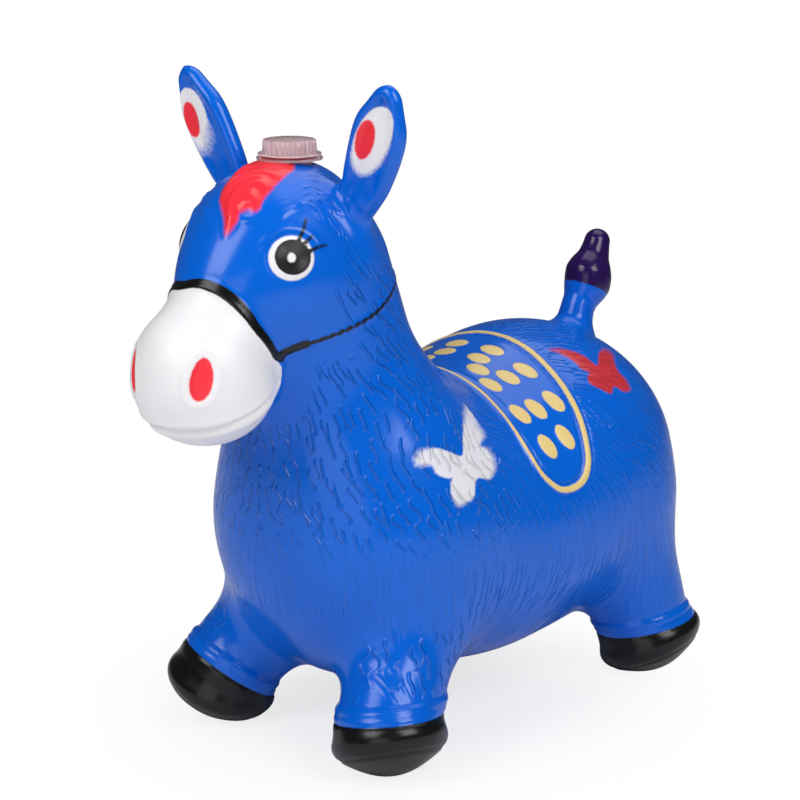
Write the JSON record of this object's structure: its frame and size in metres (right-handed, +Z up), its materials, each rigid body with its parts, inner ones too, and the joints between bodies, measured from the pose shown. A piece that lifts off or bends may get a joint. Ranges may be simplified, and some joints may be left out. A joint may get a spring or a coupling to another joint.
{
  "type": "bouncy horse hopper",
  "caption": "Hollow soft-plastic horse a child sits on and bounces, with ears to hold, springy legs, a raised tail, a screw-capped light unit in the crown and an air plug under the belly.",
  "frame": {"origin": "on the floor under the middle of the horse's bounding box", "axes": "+Z up; the horse faces -Y; its left side is +X"},
  "size_m": [0.2966, 0.5758, 0.5581],
  "materials": {
    "blue_skin": "glossy soft PVC, sprayed details",
    "purple_skin": "glossy soft PVC, sprayed purple",
    "black_skin": "glossy soft PVC, sprayed black",
    "clear_plastic": "clear moulded plastic",
    "seal_rubber": "soft pale rubber",
    "contact_brass": "stamped sheet",
    "board_green": "coated board",
    "black_plastic": "moulded",
    "white_plastic": "moulded soft plastic",
    "steel": "plated steel",
    "led_red": "tinted clear resin"
  },
  "bodies": {
    "horse": {"body_skin": "blue_skin", "front_left_leg": "blue_skin", "front_right_leg": "blue_skin", "rear_left_leg": "blue_skin", "rear_right_leg": "blue_skin", "unit_cup": "clear_plastic", "lower_contact": "contact_brass", "upper_contact": "contact_brass", "circuit_board": "board_green", "button_cell_1": "steel", "button_cell_2": "steel", "button_cell_3": "steel", "led_1": "led_red", "led_2": "led_red", "led_3": "led_red", "buzzer": "black_plastic", "motion_switch": "black_plastic", "board_screw_1": "steel", "board_screw_2": "steel"},
    "front_left_hoof": {"front_left_hoof": "black_skin"},
    "front_right_hoof": {"front_right_hoof": "black_skin"},
    "rear_left_hoof": {"rear_left_hoof": "black_skin"},
    "rear_right_hoof": {"rear_right_hoof": "black_skin"},
    "left_ear": {"left_ear": "blue_skin"},
    "right_ear": {"right_ear": "blue_skin"},
    "tail": {"tail": "purple_skin"},
    "cap_seal": {"cap_seal": "seal_rubber"},
    "unit_cap": {"unit_cap": "clear_plastic"},
    "air_plug": {"air_plug": "white_plastic"}
  },
  "joints": [
    {"name": "front_left_bounce", "type": "slide", "parent": "horse", "child": "front_left_hoof", "axis": [0, 0, 1], "range_m": [0, 0.015], "stiffness_N_per_m": 2500, "springref_m": -0.004, "deforming": ["front_left_leg"]},
    {"name": "front_right_bounce", "type": "slide", "parent": "horse", "child": "front_right_hoof", "axis": [0, 0, 1], "range_m": [0, 0.015], "stiffness_N_per_m": 2500, "springref_m": -0.004, "deforming": ["front_right_leg"]},
    {"name": "rear_left_bounce", "type": "slide", "parent": "horse", "child": "rear_left_hoof", "axis": [0, 0, 1], "range_m": [0, 0.015], "stiffness_N_per_m": 2500, "springref_m": -0.004, "deforming": ["rear_left_leg"]},
    {"name": "rear_right_bounce", "type": "slide", "parent": "horse", "child": "rear_right_hoof", "axis": [0, 0, 1], "range_m": [0, 0.015], "stiffness_N_per_m": 2500, "springref_m": -0.004, "deforming": ["rear_right_leg"]},
    {"name": "left_ear_flex", "type": "hinge", "parent": "horse", "child": "left_ear", "pos_m": [0.069, -0.12516, 0.453], "axis": [1, 0, 0], "range_deg": [-12, 12], "stiffness_Nm_per_rad": 0.8},
    {"name": "right_ear_flex", "type": "hinge", "parent": "horse", "child": "right_ear", "pos_m": [-0.069, -0.12516, 0.453], "axis": [1, 0, 0], "range_deg": [-12, 12], "stiffness_Nm_per_rad": 0.8},
    {"name": "tail_flex", "type": "hinge", "parent": "horse", "child": "tail", "pos_m": [0, 0.22784, 0.302], "axis": [1, 0, 0], "range_deg": [-15, 15], "stiffness_Nm_per_rad": 0.8},
    {"name": "cap_lift", "type": "slide", "parent": "horse", "child": "cap_seal", "axis": [0, 0, 1], "range_m": [0, 0.0075]},
    {"name": "cap_turn", "type": "hinge", "parent": "cap_seal", "child": "unit_cap", "pos_m": [0, -0.13716, 0.49839], "axis": [0, 0, 1], "range_deg": [0, 900]},
    {"name": "plug_pull", "type": "slide", "parent": "horse", "child": "air_plug", "axis": [0, 0, -1], "range_m": [0, 0.018]}
  ],
  "couplings": [
    {"joint": "cap_lift", "follows": "cap_turn", "m_per_rad": 0.000477}
  ]
}
